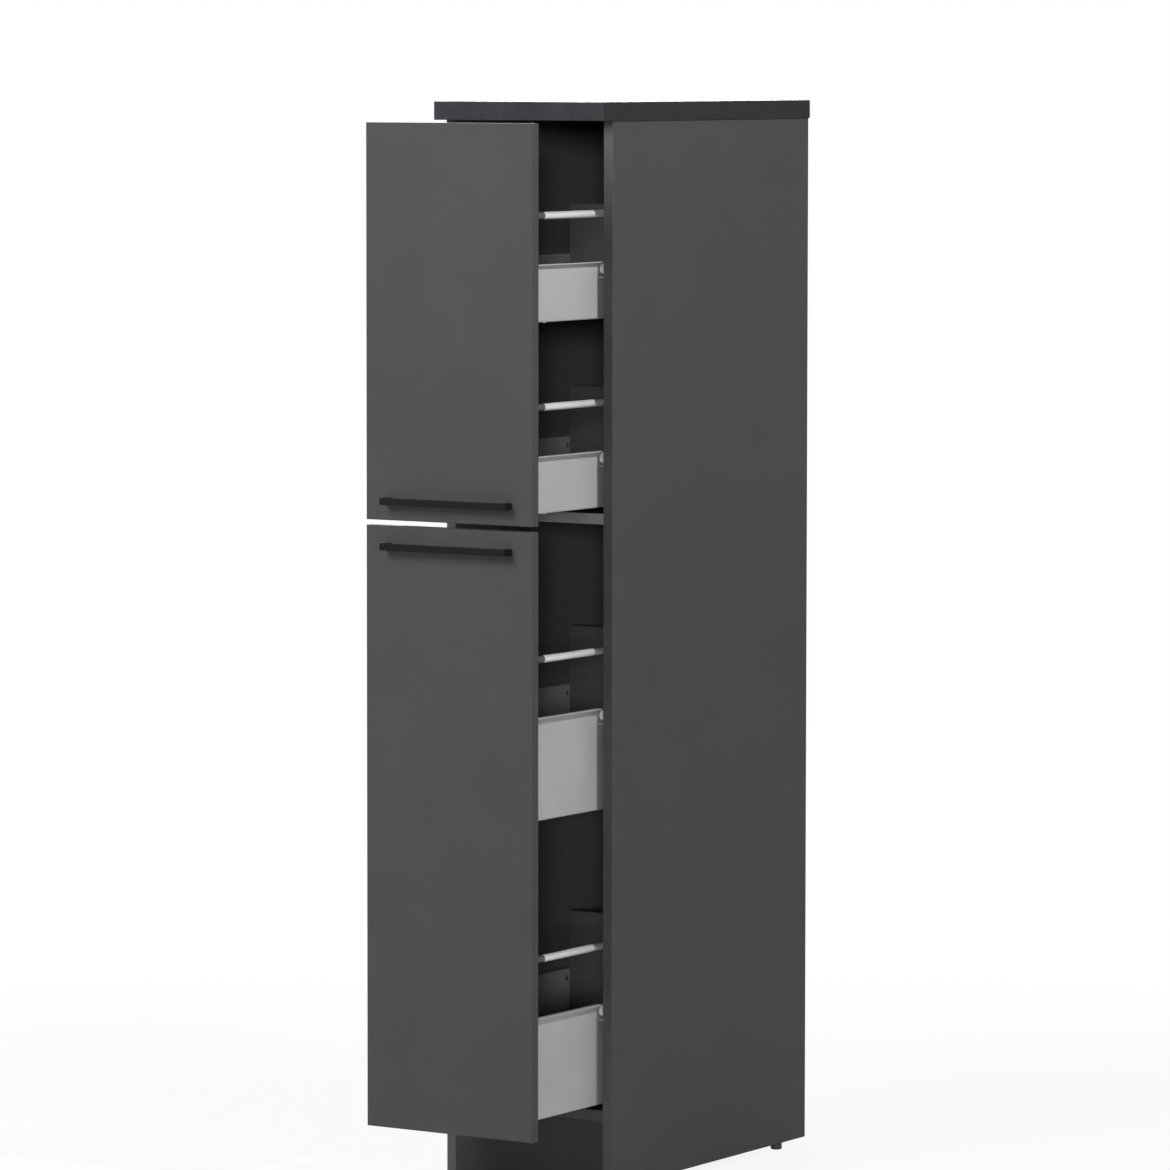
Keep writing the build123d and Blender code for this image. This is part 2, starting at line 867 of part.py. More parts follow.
def rail_fittings(pullout):
    """Front sockets and rear holders of the rails."""
    spigot_radius = rail_radius - rail_wall - rail_play
    holder_height = holder_plate_drop + holder_plate_rise
    with BuildPart() as fittings:
        for tray in pullouts[pullout]:
            z = trays[tray][0] + trays[tray][2]
            front = [facing(rail_x, front_inner, z, (0, 1, 0))]
            rod(front, socket_flange_radius, socket_flange_thickness)
            rod(front, rail_radius, socket_length)
            rod(front, spigot_radius, socket_length + socket_spigot_length)
            with BuildSketch(upright(tray_back_front)):
                with Locations((rail_x, z - holder_plate_drop)):
                    Rectangle(2 * holder_radius, holder_height, align=(Align.CENTER, Align.MIN))
            extrude(amount=holder_plate_thickness)
            back = [facing(rail_x, rail_end, z, (0, -1, 0))]
            rod(back, holder_radius, holder_grip)
            drill(moved(back, holder_grip), rail_radius + rail_play, holder_grip)
    return fittings.part


def front_brackets(pullout):
    """Steel angles that tie each tray side to the front."""
    with BuildPart() as brackets:
        for tray in pullouts[pullout]:
            low, high = bracket_limits(tray)
            for side in both_sides:
                with BuildSketch(level(low)):
                    x = side * (tray_inner - bracket_flange / 2)
                    with Locations((x, front_inner + bracket_sheet / 2)):
                        Rectangle(bracket_flange, bracket_sheet)
                    x = side * (tray_inner - bracket_sheet / 2)
                    with Locations((x, front_inner + bracket_tongue / 2)):
                        Rectangle(bracket_sheet, bracket_tongue)
                extrude(amount=high - low)
            drill(bracket_screw_places(tray), screw_radius + screw_play, bracket_sheet)
    return brackets.part


def front_panel(pullout):
    """A full front with the holes for its handle and its brackets."""
    low, high = front_limits[pullout]
    with BuildPart() as front:
        add(slab(front_width, front_outer, front_inner, low, high))
        outer_edges = front.faces().sort_by(Axis.Y)[0].edges()
        chamfer(outer_edges, edge_round)
        handle_screws = handle_screw_places(pullout)
        drill(handle_screws, handle_screw_radius + screw_play, board)
        drill(handle_screws, handle_screw_head_radius + fixing_play, handle_screw_head_thickness)
        bracket_screws = joined(bracket_screw_places(tray) for tray in pullouts[pullout])
        drill(moved(bracket_screws, -bracket_sheet), screw_radius + screw_play,
              bracket_screw_length - bracket_sheet)
    return front.part


def handle(pullout):
    """A bow handle: a bar with a square post at each end."""
    middle = handle_height_on_front(pullout)
    bar_back = handle_projection - handle_depth
    half = handle_length / 2
    with BuildPart() as bow:
        with BuildSketch(level(middle - handle_height / 2)):
            with Locations((0, front_outer - handle_projection + handle_depth / 2)):
                Rectangle(handle_length, handle_depth)
            for side in both_sides:
                with Locations((side * (half - handle_post_width / 2), front_outer - bar_back / 2)):
                    Rectangle(handle_post_width, bar_back)
        extrude(amount=handle_height)
        fillet(bow.faces().sort_by(Axis.Y)[0].edges(), handle_edge_round)
        drill(moved(handle_screw_places(pullout), -board), handle_screw_radius + screw_play,
              handle_screw_in_post)
    return bow.part


def pullout_screws(pullout):
    """The screws of one pull-out: handle, brackets, bases and back boards."""
    handles = handle_screw_places(pullout)
    shank_length = board + handle_screw_in_post
    head_thickness = handle_screw_head_thickness
    with BuildPart() as screws:
        rod(moved(handles, -shank_length), handle_screw_radius, shank_length)
        rod(moved(handles, -head_thickness), handle_screw_head_radius, head_thickness)
        for tray in pullouts[pullout]:
            wood_screws(base_screw_places(tray) + back_screw_places(tray), short_screw_length)
            wood_screws(bracket_screw_places(tray), bracket_screw_length)
    return screws.part


# Write every piece

os.makedirs("parts", exist_ok=True)

save(side_panel(-1), "side_panel_left")
save(side_panel(1), "side_panel_right")
for shelf_name in shelf_boards:
    save(shelf_board(shelf_name), shelf_name)
save(rear_traverse(), "rear_traverse")
save(back_panel(), "back_panel")
save(plinth_panel(), "plinth_panel")
save(worktop(), "worktop")
save(glide_feet(), "glide_feet")
save(glide_nails(), "glide_nails")
save(carcass_dowels(), "carcass_dowels")
save(cam_fittings(), "cam_fittings")
save(carcass_screws(), "carcass_screws")
save(wall_bracket(), "wall_bracket")
save(runner_roller_pins(), "runner_roller_pins")

for tray_name in trays:
    save(runner_pair(tray_name), f"{tray_name}_runners")
    front_z = front_roller_height(tray_name)
    front_pair = roller_pair(front_roller_x, front_roller_radius, front_roller_y, front_z)
    save(front_pair, f"{tray_name}_front_rollers")
    rear_z = rear_roller_height(tray_name)
    rear_pair = roller_pair(rear_roller_x, rear_roller_radius, rear_roller_y, rear_z)
    save(rear_pair, f"{tray_name}_rear_rollers")
    save(tray_side(tray_name, -1), f"{tray_name}_side_left")
    save(tray_side(tray_name, 1), f"{tray_name}_side_right")
    save(tray_base(tray_name), f"{tray_name}_base")
    save(tray_back(tray_name), f"{tray_name}_back")
    save(tray_rail(tray_name), f"{tray_name}_rail")

for pullout_name in pullouts:
    save(front_panel(pullout_name), f"{pullout_name}_front")
    save(handle(pullout_name), f"{pullout_name}_handle")
    save(front_brackets(pullout_name), f"{pullout_name}_front_brackets")
    save(rail_fittings(pullout_name), f"{pullout_name}_rail_fittings")
    save(tray_roller_pins(pullout_name), f"{pullout_name}_roller_pins")
    save(pullout_screws(pullout_name), f"{pullout_name}_pullout_screws")
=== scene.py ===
# %% [markdown]
# This lesson dresses a narrow pull-out column cabinet: a graphite carcass under a slate-look
# worktop, with two tall fronts that pull out four steel-sided trays. The shapes come from a packed
# CAD model and stay as they are, so the lesson is about finishes, light and the camera. Everything
# is in metres, -Y points at the person who opens the fronts, and the floor is at Z = 0.

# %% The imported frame
import math

import bpy
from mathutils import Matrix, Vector


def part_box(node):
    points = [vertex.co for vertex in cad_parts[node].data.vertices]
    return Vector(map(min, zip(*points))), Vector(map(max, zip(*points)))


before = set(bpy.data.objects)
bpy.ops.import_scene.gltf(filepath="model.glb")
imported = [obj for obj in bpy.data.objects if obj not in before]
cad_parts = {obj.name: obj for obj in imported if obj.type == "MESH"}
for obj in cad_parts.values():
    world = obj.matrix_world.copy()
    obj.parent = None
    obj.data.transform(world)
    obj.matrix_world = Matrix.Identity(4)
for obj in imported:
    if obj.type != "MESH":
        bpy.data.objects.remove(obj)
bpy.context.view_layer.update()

# %% [markdown]
# A real finish is never one flat colour. It could be painted as an image, but an image has to be
# unwrapped and blurs close up, so each finish here is a Principled shader with a few noises in
# front of it. Two small helpers add nodes and join them, which keeps each recipe short. A value
# that is the same all over a piece is set on the shader's own socket.

# %% Nodes and links


def shader_of(finish):
    return finish.node_tree.nodes["Principled BSDF"]


def start_finish(name, roughness, specular, metallic=0.0):
    """A new material, with the shader's even values set on its own sockets."""
    finish = bpy.data.materials.new(name)
    finish.use_nodes = True
    shader = shader_of(finish)
    shader.inputs["Roughness"].default_value = roughness
    shader.inputs["Specular IOR Level"].default_value = specular
    shader.inputs["Metallic"].default_value = metallic
    return finish


def put(finish, kind, **settings):
    """A new node in a finish, with its inputs and settings given by name."""
    node = finish.node_tree.nodes.new(kind)
    for name, value in settings.items():
        socket = node.inputs.get(name.replace("_", " ").title())
        if socket is None:
            setattr(node, name, value)
        else:
            socket.default_value = value
    return node


def wire(finish, output, target):
    finish.node_tree.links.new(output, target)


# %% [markdown]
# A texture has to know where it is on a piece. Generated coordinates stretch with each piece, so
# all finishes read Object coordinates. Each piece sits at the origin with its place in its mesh, so
# these are plain metres, and a grain has one size on a small handle and on a tall front.

# %% Textures in metres


def place_on_piece(finish, stretch=(1.0, 1.0, 1.0)):
    """Object coordinates, stretched per axis, for a finish's textures."""
    coordinates = put(finish, "ShaderNodeTexCoord")
    mapping = put(finish, "ShaderNodeMapping", scale=stretch)
    wire(finish, coordinates.outputs["Object"], mapping.inputs["Vector"])
    return mapping.outputs["Vector"]


def noise(finish, place, scale, detail=3.0, roughness=0.5):
    texture = put(finish, "ShaderNodeTexNoise", scale=scale, detail=detail, roughness=roughness)
    wire(finish, place, texture.inputs["Vector"])
    return texture.outputs["Fac"]


# %% [markdown]
# A noise is a value between 0 and 1, and a colour ramp turns it into colours. Most finishes need
# only two shades of one colour. A second texture goes on top with Overlay and not with Mix, because
# there middle grey changes nothing, so the colour that was chosen stays the average.

# %% Colours from textures

middle_grey = (0.5, 0.5, 0.5)
soft_stops = (0.3, 0.7)
crisp_stops = (0.35, 0.65)


def shade(colour, factor):
    return tuple(channel * factor for channel in colour)


def ramp(finish, value, stops):
    """Turn a value into a colour, with stops of (position, colour)."""
    node = put(finish, "ShaderNodeValToRGB")
    elements = node.color_ramp.elements
    while len(elements) < len(stops):
        elements.new(0.5)
    for element, (position, colour) in zip(elements, stops):
        element.position = position
        element.color = (*colour, 1.0)
    wire(finish, value, node.inputs["Fac"])
    return node.outputs["Color"]


def two_shades(finish, value, colour, factors, stops=soft_stops):
    """A colour that runs between two shades of itself as a texture's value rises."""
    shades = [shade(colour, factor) for factor in factors]
    return ramp(finish, value, list(zip(stops, shades)))


def colour_sockets(sockets, name):
    return [socket for socket in sockets if socket.name == name and socket.type == "RGBA"]


def blend_colours(finish, share, first, second, kind="MIX"):
    """Mix two colours. A share or a colour that is plain numbers stays on its socket."""
    node = put(finish, "ShaderNodeMix", data_type="RGBA", blend_type=kind)
    if isinstance(share, float):
        node.inputs["Factor"].default_value = share
    else:
        wire(finish, share, node.inputs["Factor"])
    for name, colour in (("A", first), ("B", second)):
        socket = colour_sockets(node.inputs, name)[0]
        if isinstance(colour, tuple):
            socket.default_value = (*colour, 1.0)
        else:
            wire(finish, colour, socket)
    return colour_sockets(node.outputs, "Result")[0]


# %% [markdown]
# What makes a surface look matt, worn or moulded is mostly its gloss and its relief. The textures
# that give the colour also move the roughness a little and raise the surface. The relief could be
# real geometry, but it is about a tenth of a millimetre or less, so a Bump node is enough.

# %% Gloss, relief and dressing


def give_colour(finish, colour):
    wire(finish, colour, shader_of(finish).inputs["Base Color"])


def rough_between(finish, value, low, high):
    """Let a texture move the roughness between two values."""
    node = put(finish, "ShaderNodeMapRange", to_min=low, to_max=high)
    wire(finish, value, node.inputs["Value"])
    wire(finish, node.outputs["Result"], shader_of(finish).inputs["Roughness"])


def relief(finish, value, height, strength, over=None):
    """A surface raised by a texture. Height is in metres."""
    node = put(finish, "ShaderNodeBump", strength=strength, distance=height)
    wire(finish, value, node.inputs["Height"])
    if over is not None:
        wire(finish, over, node.inputs["Normal"])
    return node.outputs["Normal"]


def give_relief(finish, value, height, strength, over=None):
    raised = relief(finish, value, height, strength, over)
    wire(finish, raised, shader_of(finish).inputs["Normal"])


def dress(names, finish):
    """Give a finish to CAD nodes."""
    for name in names:
        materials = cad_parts[name].data.materials
        materials.clear()
        materials.append(finish)
    print(finish.name, "on", len(names), "nodes")


# %% [markdown]
# On a real board the edge band is glued on after the faces, so a hair line runs round each face,
# one band's thickness from the edge. It could be a groove in the mesh, but it is a quarter of a
# millimetre wide, so it is drawn in the material: a few Math nodes find how far a point is from
# the nearest edge of the board, and compare that with the band's thickness.

# %% The line round a board's face

metre_in_mm = 1000.0
band_thickness = 0.0009
band_line_half_width = 0.00012


def maths(finish, operation, *values):
    """A Math node. Each value is a number or another node's output."""
    node = put(finish, "ShaderNodeMath", operation=operation)
    for socket, value in zip(node.inputs, values):
        if isinstance(value, float):
            socket.default_value = value
        else:
            wire(finish, value, socket)
    return node.outputs[0]


def edge_line(finish, node_name, thin_axis):
    """1 on the hair line between a board's face and its edge band, else 0."""
    low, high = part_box(node_name)
    half = (high - low) / 2
    coordinates = put(finish, "ShaderNodeTexCoord")
    centred = put(finish, "ShaderNodeMapping", location=-(low + high) / 2)
    parts = put(finish, "ShaderNodeSeparateXYZ")
    wire(finish, coordinates.outputs["Object"], centred.inputs["Vector"])
    wire(finish, centred.outputs["Vector"], parts.inputs["Vector"])
    to_edges = []
    for index, axis in enumerate("XYZ"):
        if axis != thin_axis:
            from_middle = maths(finish, "ABSOLUTE", parts.outputs[axis])
            to_edges.append(maths(finish, "SUBTRACT", half[index], from_middle))
    nearest = maths(finish, "MINIMUM", *to_edges)
    return maths(finish, "COMPARE", nearest, band_thickness, band_line_half_width)


front_low, front_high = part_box("upper_front")
front_size = [round(value * metre_in_mm) for value in front_high - front_low]
band_mm = round(band_thickness * metre_in_mm, 1)
print("upper front:", front_size, "mm, with its line", band_mm, "mm from the edges")

# %% [markdown]
# Some faces of one board get painted light or shade: the inner faces of the sides are painted
# paler than the outer ones, which stands in for the light inside the carcass, and the front edge
# bands are painted lighter for the light they catch. Cutting the mesh into parts would change the
# CAD piece, so the material asks which way a face looks and picks its tone by that. Boards slide
# but never turn here, so a face keeps its direction at every pose.

# %% Faces by direction

least_facing = 0.5


def faces_along(finish, axis, sign):
    """1 on the faces that look along an axis, else 0."""
    geometry = put(finish, "ShaderNodeNewGeometry")
    direction = put(finish, "ShaderNodeSeparateXYZ")
    wire(finish, geometry.outputs["True Normal"], direction.inputs["Vector"])
    compare = "GREATER_THAN" if sign > 0 else "LESS_THAN"
    return maths(finish, compare, direction.outputs[axis], least_facing * sign)


# %% [markdown]
# The carcass and the fronts are chipboard with a melamine face, a matt graphite grey with a slight
# warmth. Such a face is pressed against a textured sheet, so it has a fine pearl in it. One soft
# noise, about a hand wide, keeps the grey from being dead flat, and a fine one does the pearl. The
# fronts and the sides each get a finish of their own, because the edge line needs the board's size.

# %% Melamine board

graphite = (0.0588, 0.0591, 0.0558)
melamine_specular = 0.08
board_cloud_scale = 9.0
pearl_scale = 900.0
board_cloud_factors = (0.965, 1.035)
pearl_factors = (0.92, 1.08)
pearl_share = 0.6
edge_line_factor = 0.45
board_tone_factors = (0.95, 1.05)


def board_textures(finish):
    """The clouds and the pearl of a melamine face. The pearl sets the gloss and the relief."""
    place = place_on_piece(finish)
    cloud = noise(finish, place, board_cloud_scale, detail=4.0)
    pearl = noise(finish, place, pearl_scale, detail=2.0)
    rough_between(finish, pearl, low=0.44, high=0.58)
    give_relief(finish, pearl, height=0.00006, strength=0.6)
    return cloud, pearl


def melamine(name, colour, lined_node=None, thin_axis="Y", painted_tones=()):
    """A board's finish. Tones are (axis, sign, factor): painted light or shade by face direction.
    """
    finish = start_finish(name, roughness=0.5, specular=melamine_specular)
    cloud, pearl = board_textures(finish)
    tone = two_shades(finish, cloud, colour, board_cloud_factors)
    grain = two_shades(finish, pearl, middle_grey, pearl_factors, crisp_stops)
    surface = blend_colours(finish, pearl_share, tone, grain, kind="OVERLAY")
    if lined_node:
        line = edge_line(finish, lined_node, thin_axis)
        surface = blend_colours(finish, line, surface, shade(colour, edge_line_factor))
    # Painted light and shade: the faces along each axis get a lighter or darker copy of the colour.
    for axis, sign, factor in painted_tones:
        darker, lighter = (shade(colour, factor * step) for step in board_tone_factors)
        painted_light_or_shade = blend_colours(finish, cloud, darker, lighter)
        surface = blend_colours(finish, faces_along(finish, axis, sign), surface, painted_light_or_shade)
    give_colour(finish, surface)
    return finish


dress(["upper_front"], melamine("graphite_upper_front", graphite, "upper_front"))
dress(["lower_front"], melamine("graphite_lower_front", graphite, "lower_front"))
dress(["bottom_panel", "rear_traverse"], melamine("graphite_board", graphite))
print("clouds of about", round(metre_in_mm / board_cloud_scale), "mm, pearl of about",
      round(metre_in_mm / pearl_scale, 1), "mm")

# %% [markdown]
# The sides, the plinth and the boards in the trays are the same kind of board in other tones. The
# sides get painted light inside and on their front bands, the plinth gets a painted shade that
# makes it darker, and the tray boards are a mid grey. One function makes them all, so they stay
# alike in everything but the tone.

# %% Boards in other tones, with painted light and shade

mid_grey = (0.112, 0.111, 0.106)
# Painted light: the inner faces of the sides and their front bands are made lighter by these.
inside_painted_light = 2.7
front_band_painted_light = 1.45
# Painted shade: the plinth is made darker by this, for the shade under the lower front.
plinth_painted_shade = 0.65
trays = (1, 2, 3, 4)

for hand, inner_sign in (("left", 1), ("right", -1)):
    side = f"side_panel_{hand}"
    painted_tones = (("X", inner_sign, inside_painted_light), ("Y", -1, front_band_painted_light))
    dress([side], melamine(f"graphite_side_painted_light_{hand}", graphite, side, "X", painted_tones))
dress(["plinth_panel"], melamine("graphite_plinth_painted_shade", shade(graphite, plinth_painted_shade)))
dress([f"tray_{tray}_{board}" for tray in trays for board in ("base", "back")],
      melamine("mid_grey_board", mid_grey))

# %% [markdown]
# The middle shelf has the same graphite faces, but its front edge wears a pale grey band. The band
# could be a thin strip of its own, but the shelf is one CAD piece, so the direction of its faces
# tells the band from the rest: only the band looks forward, along -Y.

# %% Shelf with a pale edge band

pale_band = (0.25, 0.25, 0.243)
pale_band_factors = (0.97, 1.03)


def banded_shelf():
    finish = start_finish("pale_edged_shelf", roughness=0.5, specular=melamine_specular)
    cloud, _ = board_textures(finish)
    face = two_shades(finish, cloud, graphite, board_cloud_factors)
    band = two_shades(finish, cloud, pale_band, pale_band_factors)
    give_colour(finish, blend_colours(finish, faces_along(finish, "Y", -1), face, band))
    return finish


dress(["mid_shelf"], banded_shelf())

# %% [markdown]
# The back is thin hardboard. Its inner face is painted dark like the carcass, while the side that
# goes to the wall is left as it comes from the press: brown, with short fibres in all directions.
# A rough noise with many octaves looks like pressed fibre, and slow clouds over it break it up.

# %% Hardboard back

raw_hardboard = (0.17, 0.11, 0.065)
fibre_factors = (0.75, 1.2)
fibre_cloud_factors = (0.88, 1.12)
fibre_cloud_share = 0.7
painted_factors = (0.55, 0.62)


def hardboard():
    finish = start_finish("hardboard", roughness=0.75, specular=0.2)
    place = place_on_piece(finish)
    fibres = noise(finish, place, scale=420.0, detail=5.0, roughness=0.7)
    cloud = noise(finish, place, scale=6.0)
    pressed = two_shades(finish, fibres, raw_hardboard, fibre_factors)
    clouded = two_shades(finish, cloud, middle_grey, fibre_cloud_factors)
    raw = blend_colours(finish, fibre_cloud_share, pressed, clouded, kind="OVERLAY")
    painted = two_shades(finish, cloud, graphite, painted_factors)
    give_colour(finish, blend_colours(finish, faces_along(finish, "Y", 1), painted, raw))
    rough_between(finish, fibres, low=0.65, high=0.85)
    give_relief(finish, fibres, height=0.0001, strength=0.5)
    return finish


dress(["back_panel"], hardboard())

# %% [markdown]
# The worktop is a board with a slate look: a dark blue-grey with soft patches a hand wide, finer
# streaks that run along the top, and a grain like fine sandpaper. Noise stretched along one axis
# gives streaks, so the streaks get a Mapping node of their own. The two ends are closed with strips
# of the same laminate, and a painted shade gives them darker shades than the top and the front.

# %% Slate-look worktop

slate = (0.0315, 0.0325, 0.0365)
patch_stops = ((0.3, 0.85), (0.5, 1.0), (0.72, 1.2))
streak_dark = (0.4, 0.4, 0.41)
streak_pale = (0.6, 0.6, 0.6)
streak_share = 0.5
streak_stretch = (1.0, 0.25, 1.0)
end_painted_shade_factors = (0.52, 0.66)


def slate_look():
    finish = start_finish("slate_laminate", roughness=0.5, specular=0.08)
    place = place_on_piece(finish)
    along = place_on_piece(finish, streak_stretch)
    patches = noise(finish, place, scale=11.0, detail=5.0, roughness=0.6)
    streaks = noise(finish, along, scale=70.0, detail=4.0, roughness=0.65)
    grain = noise(finish, place, scale=700.0, detail=2.0)
    tone = ramp(finish, patches, [(stop, shade(slate, factor)) for stop, factor in patch_stops])
    streak = ramp(finish, streaks, list(zip(crisp_stops, (streak_dark, streak_pale))))
    surface = blend_colours(finish, streak_share, tone, streak, kind="OVERLAY")
    # Painted shade: the two end faces get darker shades of the slate.
    painted_end_shade = two_shades(finish, patches, slate, end_painted_shade_factors)
    for sign in (-1, 1):
        surface = blend_colours(finish, faces_along(finish, "X", sign), surface, painted_end_shade)
    give_colour(finish, surface)
    rough_between(finish, grain, low=0.42, high=0.6)
    streak_relief = relief(finish, streaks, height=0.00012, strength=0.5)
    give_relief(finish, grain, height=0.00008, strength=0.7, over=streak_relief)
    return finish


dress(["worktop"], slate_look())

# %% [markdown]
# The tray sides, the runners, the rails and the handles are steel under a baked coat. A coat flows
# a little before it sets, which leaves a skin like fine orange peel, and it has a few pale flakes.
# Bare metal under a clear layer would look too bright, so the coat is a plain paint with its own
# colour. One recipe makes three coats: a silver-grey one, a glossier white and a dry black.

# %% Coated steel

silver_grey = (0.4, 0.4, 0.39)
rail_white = (0.66, 0.66, 0.65)
handle_black = (0.0075, 0.0076, 0.007)
coat_cloud_factors = (0.96, 1.04)
flake_factors = (1.06, 0.98)
flake_stops = (0.1, 0.4)
flake_share = 0.8
coat_gloss_spread = 0.06
pullouts = ("upper", "lower")


def coated_steel(name, colour, roughness, specular, peel_scale, peel_height):
    finish = start_finish(name, roughness, specular)
    place = place_on_piece(finish)
    cloud = noise(finish, place, scale=14.0)
    peel = noise(finish, place, peel_scale, detail=1.0)
    flakes = put(finish, "ShaderNodeTexVoronoi", scale=3200.0)
    wire(finish, place, flakes.inputs["Vector"])
    tone = two_shades(finish, cloud, colour, coat_cloud_factors)
    flake = two_shades(finish, flakes.outputs["Distance"], middle_grey, flake_factors, flake_stops)
    give_colour(finish, blend_colours(finish, flake_share, tone, flake, kind="OVERLAY"))
    rough_between(finish, peel, roughness - coat_gloss_spread, roughness + coat_gloss_spread)
    give_relief(finish, peel, peel_height, strength=0.5)
    return finish


tray_steel = ("side_left", "side_right", "runners")
dress([f"tray_{tray}_{piece}" for tray in trays for piece in tray_steel],
      coated_steel("silver_grey_coat", silver_grey, roughness=0.42, specular=0.2,
                   peel_scale=450.0, peel_height=0.00004))
dress([f"tray_{tray}_rail" for tray in trays],
      coated_steel("rail_coat", rail_white, roughness=0.3, specular=0.9,
                   peel_scale=300.0, peel_height=0.00002))
dress([f"{pullout}_handle" for pullout in pullouts],
      coated_steel("black_powder_coat", handle_black, roughness=0.55, specular=0.08,
                   peel_scale=1400.0, peel_height=0.00005))

# %% [markdown]
# Screws, pins, cams and brackets are zinc-plated. The plating leaves cloudy patches with a slight
# blue and yellow cast on a fairly bright metal, so the metal's own colour follows a noise. A noise
# that is squeezed along Z gives fine scratches in the gloss.

# %% Zinc-plated steel

zinc_blue = (0.52, 0.54, 0.58)
zinc_grey = (0.6, 0.6, 0.6)
zinc_yellow = (0.62, 0.6, 0.54)
zinc_stops = (0.3, 0.55, 0.75)
scratch_stretch = (1.0, 1.0, 9.0)


def zinc():
    finish = start_finish("zinc_plate", roughness=0.35, specular=0.5, metallic=1.0)
    cloud = noise(finish, place_on_piece(finish), scale=60.0)
    scratch = noise(finish, place_on_piece(finish, scratch_stretch), scale=500.0, detail=2.0)
    casts = (zinc_blue, zinc_grey, zinc_yellow)
    give_colour(finish, ramp(finish, cloud, list(zip(zinc_stops, casts))))
    rough_between(finish, scratch, low=0.25, high=0.45)
    give_relief(finish, scratch, height=0.00002, strength=0.4)
    return finish


zinc_nodes = ["glide_nails", "carcass_screws", "cam_fittings", "wall_bracket", "runner_roller_pins"]
zinc_nodes += [f"{pullout}_{piece}" for pullout in pullouts
               for piece in ("roller_pins", "pullout_screws", "front_brackets")]
dress(zinc_nodes, zinc())

# %% [markdown]
# Moulded plastic comes off spark-eroded steel, so it has a fine even texture and faint flow clouds.
# The rollers are white nylon, which lets a little light in, so they get subsurface scattering.
# The sockets and holders of the rails are dark grey, and the glides under the sides are black.

# %% Moulded plastic

nylon_white = (0.74, 0.74, 0.72)
socket_grey = (0.05, 0.05, 0.05)
glide_black = (0.02, 0.02, 0.02)
flow_factors = (0.95, 1.05)
plastic_gloss_spread = 0.07
light_depth = 0.002


def moulded(name, colour, roughness, light_inside=0.0):
    finish = start_finish(name, roughness, specular=0.4)
    place = place_on_piece(finish)
    flow = noise(finish, place, scale=80.0)
    spark = noise(finish, place, scale=1500.0, detail=1.0)
    give_colour(finish, two_shades(finish, flow, colour, flow_factors))
    rough_between(finish, spark, roughness - plastic_gloss_spread, roughness + plastic_gloss_spread)
    give_relief(finish, spark, height=0.00004, strength=0.5)
    shader = shader_of(finish)
    shader.inputs["Subsurface Weight"].default_value = light_inside
    shader.inputs["Subsurface Radius"].default_value = (light_depth,) * 3
    return finish


dress([f"tray_{tray}_{end}_rollers" for tray in trays for end in ("front", "rear")],
      moulded("white_nylon", nylon_white, roughness=0.4, light_inside=0.15))
dress([f"{pullout}_rail_fittings" for pullout in pullouts],
      moulded("socket_plastic", socket_grey, roughness=0.5))
dress(["glide_feet"], moulded("glide_plastic", glide_black, roughness=0.55))

# %% [markdown]
# The dowels sit inside the boards. They are turned beech, with short dark flecks along the grain.
# The grain runs along each dowel, and most of them lie across the cabinet, so the noise is drawn
# out along X.

# %% Beech dowels

beech = (0.5, 0.33, 0.19)
beech_factors = (0.7, 1.15)
grain_stretch = (0.08, 1.0, 1.0)


def beech_wood():
    finish = start_finish("beech", roughness=0.6, specular=0.3)
    grain = noise(finish, place_on_piece(finish, grain_stretch), scale=900.0, detail=4.0)
    give_colour(finish, two_shades(finish, grain, beech, beech_factors, crisp_stops))
    give_relief(finish, grain, height=0.00005, strength=0.6)
    return finish


dress(["carcass_dowels"], beech_wood())

# %% [markdown]
# The camera stands far to the right of the cabinet's front, at about a grown person's eye height,
# with a long lens, so that lines along the depth run almost parallel. It could be turned by eye,
# but edges then miss by many pixels, so its place and turns were worked out from the edges of the
# fronts, the worktop and the side. It looks down a little, which leaves only a small shift.

# %% Camera

camera_place = Vector((5.3230, -8.2809, 1.7219))
camera_turn_left = 32.768
camera_tilt_down = 4.203
camera_roll = 0.057
camera_shift_up = -0.05
focal_length_pixels = 6431.3
frame_pixels = 1170.0
sensor_width = 36.0
far_clip = 100.0

bpy.ops.object.camera_add(location=camera_place)
camera = bpy.context.object
camera.name = "camera"
turns = (90.0 - camera_tilt_down, -camera_roll, camera_turn_left)
camera.rotation_euler = [math.radians(turn) for turn in turns]
camera.data.sensor_width = sensor_width
camera.data.lens = focal_length_pixels / frame_pixels * sensor_width
camera.data.shift_y = camera_shift_up
camera.data.clip_end = far_clip
bpy.context.scene.camera = camera
print("lens:", round(camera.data.lens, 1), "mm,", round(camera_place.length, 1), "m from the foot")

# %% [markdown]
# Three area lamps do the modelling. The one on the right is small and hangs high, so the flat lip
# of each tray side throws a short clear shadow on the steel below it. The one in front is large and
# soft and lights the two fronts, and one behind lights the back and the floor there. All three hang
# above the cabinet, so everything gets a little darker towards the floor, as in a studio.

# %% Lamps

lamps = (
    # name, place, target, diameter, watts
    ("lamp_right", (2.5, -0.42, 3.05), (0.12, -0.42, 2.2), 0.14, 66.0),
    ("lamp_front", (-0.8, -3.3, 3.1), (0.0, -0.38, 1.5), 2.2, 140.0),
    ("lamp_back", (-2.2, 3.6, 2.9), (0.0, 0.2, 0.7), 1.8, 110.0),
)


def turn_towards(direction):
    """The turn that points a lamp along a direction."""
    return Vector(direction).to_track_quat("-Z", "Y").to_euler()


for name, place, target, diameter, watts in lamps:
    bpy.ops.object.light_add(type="AREA", location=place)
    lamp = bpy.context.object
    lamp.name = name
    lamp.data.shape = "DISK"
    lamp.data.size = diameter
    lamp.data.energy = watts
    lamp.rotation_euler = turn_towards(Vector(target) - Vector(place))
    print(name, watts, "W, light falls from", round(place[2], 2), "m high")

